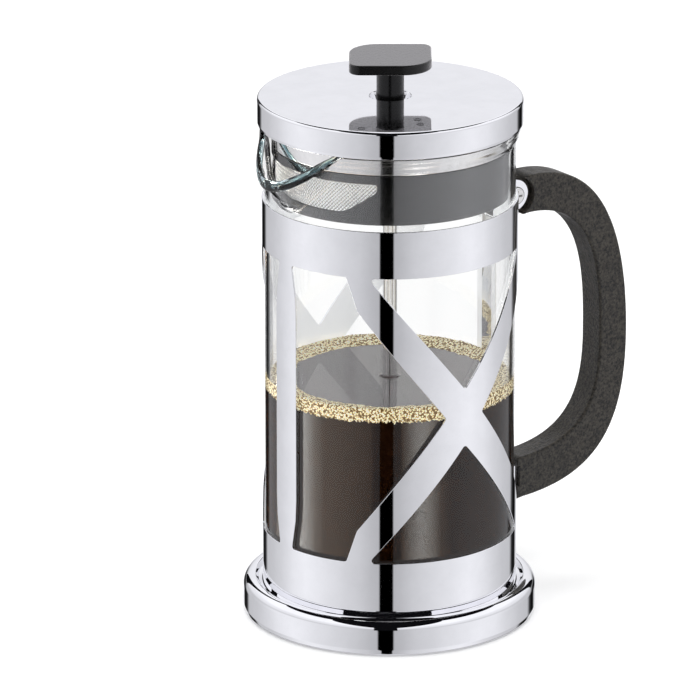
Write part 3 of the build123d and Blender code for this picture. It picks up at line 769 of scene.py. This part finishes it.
knob = plate([rounded(plate_corners, steps=14)], on_knob, 2, 0.8, arc=6)
knob.join(lathe(rounded([(0, 214.8), (5.5, 214.8, 0.4), (5.5, 230, 0.5), (6.6, 230.2), (0, 230.2)]), 72))
for u, v in ((-11.5, -3), (-9, -9.5), (11, 9.5), (12, 3)):  # the mould's small round marks
    ring_path = [on_knob(u + 1.4 * cos(a), v + 1.4 * sin(a), -2) for a in (tau * k / 24 for k in range(24))]
    knob.join(tube(ring_path, 0.16, 8, closed=True))
piece("knob_cap", knob, "plunger", looks["knob_plastic"], ["knob"])

COIL_R, COIL_Z, WIND_R = 44.9, 25.3, 1.18
WINDS, PER_WIND = 110, 10
coil = []
for k in range(WINDS * PER_WIND):
    around, wind = tau * k / (WINDS * PER_WIND), tau * k / PER_WIND
    r = COIL_R + WIND_R * cos(wind)
    coil.append(Vector((r * cos(around), r * sin(around), COIL_Z + WIND_R * sin(wind))))
piece("edge_coil", tube(coil, 0.3, 6, closed=True), "plunger", looks["spring_steel"],
      ["edge_spring"])


FILTER_Z, FILTER_TOP = 22.45, 27.0
FLAT_END, TURN_UP = 46.2, 1.45  # where the filter cloth starts to turn up, and the radius of that turn


def on_filter(u, v, t):
    """The filter cloth lies flat and turns up at its edge."""
    r = hypot(u, v)
    angle = atan2(v, u)
    if r <= FLAT_END:
        return Vector((u, v, FILTER_Z + t))
    rise = min((r - FLAT_END) / 1.6, 1.3)
    out = FLAT_END + TURN_UP * sin(rise)
    height = FILTER_Z + TURN_UP * (1 - cos(rise)) + max(r - FLAT_END - 2.08, 0)
    return Vector((out * cos(angle), out * sin(angle), min(height, FILTER_TOP) + t * 0.3))


filter_cloth = weave(98, 98, 1.25, 0.13, on_filter, lambda u, v: 2.6 < hypot(u, v) < 51.0)
piece("filter_cloth", filter_cloth, "plunger", looks["mesh_steel"], ["filter_mesh"])


# ---------------------------------------------------------------- the studio
def studio_world():
    """Soft boxes all round: seen directly it is white, and in reflections it is this profile of light."""
    world = bpy.data.worlds.new("studio")
    bpy.context.scene.world = world
    world.use_nodes = True
    tree = world.node_tree
    link = tree.links.new
    where = tree.nodes.new("ShaderNodeTexCoord").outputs["Generated"]

    def maths(operation, *sources, **sockets):
        made = tree.nodes.new("ShaderNodeMath")
        made.operation = operation
        for i, source in enumerate(sources):
            if isinstance(source, (int, float)):
                made.inputs[i].default_value = source
            else:
                link(source, made.inputs[i])
        return made.outputs["Value"]

    def toward(x, y, z):
        made = tree.nodes.new("ShaderNodeVectorMath")
        made.operation = "DOT_PRODUCT"
        link(where, made.inputs[0])
        made.inputs[1].default_value = (x, y, z)
        return made.outputs["Value"]

    def ramp(source, stops):
        made = tree.nodes.new("ShaderNodeValToRGB")
        elements = made.color_ramp.elements
        while len(elements) < len(stops):
            elements.new(0.5)
        for element, (at, grey) in zip(elements, stops):
            level = (grey / 255) ** 2.2
            element.position = at
            element.color = (level * 0.985, level * 0.99, level * 1.03, 1)
        link(source, made.inputs["Fac"])
        return made.outputs["Color"]

    front = toward(cos(GAP_TURN), sin(GAP_TURN), 0)
    right = toward(-sin(GAP_TURN), cos(GAP_TURN), 0)
    side = maths("ABSOLUTE", maths("ARCTAN2", right, front))
    degrees_round = maths("DIVIDE", side, pi)
    height = maths("DIVIDE", maths("ARCSINE", toward(0, 0, 1)), pi / 2)
    below = ramp(degrees_round, [(d / 180, grey) for d, grey in (
        (0, 1), (5.8, 2), (6.6, 186), (13, 192), (24, 208), (40, 221), (56, 233), (72, 244), (80, 247),
        (96, 238), (112, 218), (128, 203), (144, 196), (150, 60), (156, 8), (162, 40), (168, 222),
        (180, 240))])
    above = ramp(height, [(0, 200), (0.12, 236), (0.22, 243), (0.34, 262), (0.7, 262), (1, 248)])
    # the black gap between the lamps opens upward, covers the top and comes down behind them as a narrow line
    widening = maths("MAXIMUM", maths("MULTIPLY_ADD", height, radians(135), radians(-22)), radians(9))
    opening = maths("MULTIPLY", maths("LESS_THAN", side, widening), maths("GREATER_THAN", height, -0.09))
    past_half = maths("MAXIMUM", maths("SUBTRACT", height, 0.5), 0)
    spread = maths("MULTIPLY_ADD", past_half, radians(500), radians(9))
    far_line = maths("MULTIPLY", maths("LESS_THAN", side, radians(157)),
                     maths("GREATER_THAN", side, maths("SUBTRACT", radians(155), spread)))
    dark = maths("MAXIMUM", opening, maths("MULTIPLY", far_line, maths("GREATER_THAN", height, 0)))
    blend = tree.nodes.new("ShaderNodeMapRange")
    blend.inputs["From Min"].default_value, blend.inputs["From Max"].default_value = -0.06, 0.06
    link(height, blend.inputs["Value"])

    def mixed(factor, first, second):
        made = tree.nodes.new("ShaderNodeMixShader")
        link(factor, made.inputs[0])
        link(first, made.inputs[1])
        link(second, made.inputs[2])
        return made.outputs[0]

    def light(colour, strength=1.0):
        made = tree.nodes.new("ShaderNodeBackground")
        made.inputs["Strength"].default_value = strength
        if isinstance(colour, tuple):
            made.inputs["Color"].default_value = colour
        else:
            link(colour, made.inputs["Color"])
        return made.outputs[0]

    seen = tree.nodes.new("ShaderNodeLightPath")
    around = mixed(blend.outputs["Result"], light(below), light(above))
    around = mixed(dark, around, light((0.004, 0.004, 0.005, 1)))
    straight_on = maths("MULTIPLY", seen.outputs["Is Transmission Ray"],
                        maths("GREATER_THAN", side, radians(165)))
    around = mixed(straight_on, around, light((1, 1, 1, 1), 1.06))
    mirrored = maths("MAXIMUM", seen.outputs["Is Glossy Ray"], seen.outputs["Is Transmission Ray"])
    around = mixed(mirrored, light((1, 1, 1, 1), 0.55), around)
    link(mixed(seen.outputs["Is Camera Ray"], around, light((1, 1, 1, 1), 1.0)),
         tree.nodes["World Output"].inputs["Surface"])


studio_world()


SCREEN_R = 0.25
SCREEN_REACH, SCREEN_STEPS = 120, 80  # degrees either side of the gap between the lamps, and flat facets


def screen(name, low, high, stops):
    """A bent, glowing screen in front of the pot, which only what lies behind the glass mirrors.

    stops are (degrees right of the gap between the lamps, brightness).
    """
    material = bpy.data.materials.new(name)
    material.use_nodes = True
    tree = material.node_tree
    link = tree.links.new
    tree.nodes.remove(tree.nodes["Principled BSDF"])
    across = tree.nodes.new("ShaderNodeSeparateXYZ")
    link(tree.nodes.new("ShaderNodeTexCoord").outputs["UV"], across.inputs[0])
    ramp = tree.nodes.new("ShaderNodeValToRGB")
    elements = ramp.color_ramp.elements
    while len(elements) < len(stops):
        elements.new(0.5)
    most = max(level for _, level in stops)
    for element, (turn, level) in zip(elements, stops):
        share = level / most
        warmth = min(0.7 + share * 0.6, 1)
        element.position = (turn + SCREEN_REACH) / (2 * SCREEN_REACH)
        element.color = (share, share * 0.98 * warmth, share * 0.93 * warmth * warmth, 1)
    link(across.outputs["X"], ramp.inputs["Fac"])
    glow = node(tree, "ShaderNodeEmission", Strength=most)
    link(ramp.outputs["Color"], glow.inputs["Color"])
    seen = tree.nodes.new("ShaderNodeLightPath")
    behind_glass = tree.nodes.new("ShaderNodeMath")
    behind_glass.operation = "GREATER_THAN"
    link(seen.outputs["Transmission Depth"], behind_glass.inputs[0])
    behind_glass.inputs[1].default_value = 1.5
    choice = tree.nodes.new("ShaderNodeMixShader")
    link(behind_glass.outputs[0], choice.inputs[0])
    link(tree.nodes.new("ShaderNodeBsdfTransparent").outputs[0], choice.inputs[1])
    link(glow.outputs[0], choice.inputs[2])
    link(choice.outputs[0], tree.nodes["Material Output"].inputs["Surface"])

    mesh = bpy.data.meshes.new(name)
    turns = [GAP_TURN + radians(SCREEN_REACH * (2 * k / SCREEN_STEPS - 1)) for k in range(SCREEN_STEPS + 1)]
    mesh.from_pydata([(SCREEN_R * cos(a), SCREEN_R * sin(a), z) for a in turns for z in (low, high)], [],
                     [(2 * k, 2 * k + 2, 2 * k + 3, 2 * k + 1) for k in range(SCREEN_STEPS)])
    spots = mesh.uv_layers.new(name="turn")
    for loop in mesh.loops:
        spots.data[loop.index].uv = ((loop.vertex_index // 2) / SCREEN_STEPS, loop.vertex_index % 2)
    mesh.materials.append(material)
    obj = bpy.data.objects.new(name, mesh)
    obj.visible_camera = obj.visible_diffuse = obj.visible_shadow = False
    bpy.context.scene.collection.objects.link(obj)


screen("coffee_screen", -0.16, 0.03, (
    (-118, 7), (-106, 10), (-94, 15), (-82, 20), (-76, 16), (-66, 7), (-56, 3), (-30, 2), (-13, 1.2),
    (-11, 0), (12, 0), (14, 1.5), (30, 11), (36, 9), (48, 1.5), (58, 0), (116, 0.4)))
screen("rod_screen", 0.034, 0.10, (
    (-118, 0.7), (-100, 0.1), (-84, 0.9), (-40, 1), (-30, 0.2), (-22, 0.9),
    (30, 1), (40, 0.15), (52, 0.8), (90, 0.9), (104, 0.1), (118, 0.5)))

floor_mesh = bpy.data.meshes.new("floor")
floor_mesh.from_pydata([(-3, -3, 0), (3, -3, 0), (3, 3, 0), (-3, 3, 0)], [], [(0, 1, 2, 3)])
floor = bpy.data.objects.new("floor", floor_mesh)
floor.data.materials.append(surface("floor", (0.92, 0.92, 0.92), (0.94, 0.94, 0.94), (0.8, 0.9), scale=20,
                                    bump=0.01, Emission_Color=(1, 1, 1, 1), Emission_Strength=0.12))
floor.visible_glossy = floor.visible_transmission = False
bpy.context.scene.collection.objects.link(floor)


overhead = bpy.data.lights.new("overhead", "AREA")
overhead.energy, overhead.size = 24, 1.8
overhead_lamp = bpy.data.objects.new("overhead", overhead)
overhead_lamp.location = (0, 0, 1.4)
overhead_lamp.visible_glossy = False
bpy.context.scene.collection.objects.link(overhead_lamp)

back = Vector((sin(VIEW_TURN) * cos(VIEW_TIP), -cos(VIEW_TURN) * cos(VIEW_TIP), sin(VIEW_TIP)))
right = Vector((cos(VIEW_TURN), sin(VIEW_TURN), 0))
camera = bpy.data.cameras.new("camera")
camera.lens, camera.sensor_width = 382.7, 36
eye = bpy.data.objects.new("camera", camera)
eye.location = Vector((0, 0, 0.110)) - right * 0.01605 + back * 3.0  # 3 m off, a little left of the axis
eye.rotation_euler = back.to_track_quat("Z", "Y").to_euler()
bpy.context.scene.collection.objects.link(eye)
bpy.context.scene.camera = eye
bpy.context.scene.view_settings.view_transform = "Standard"
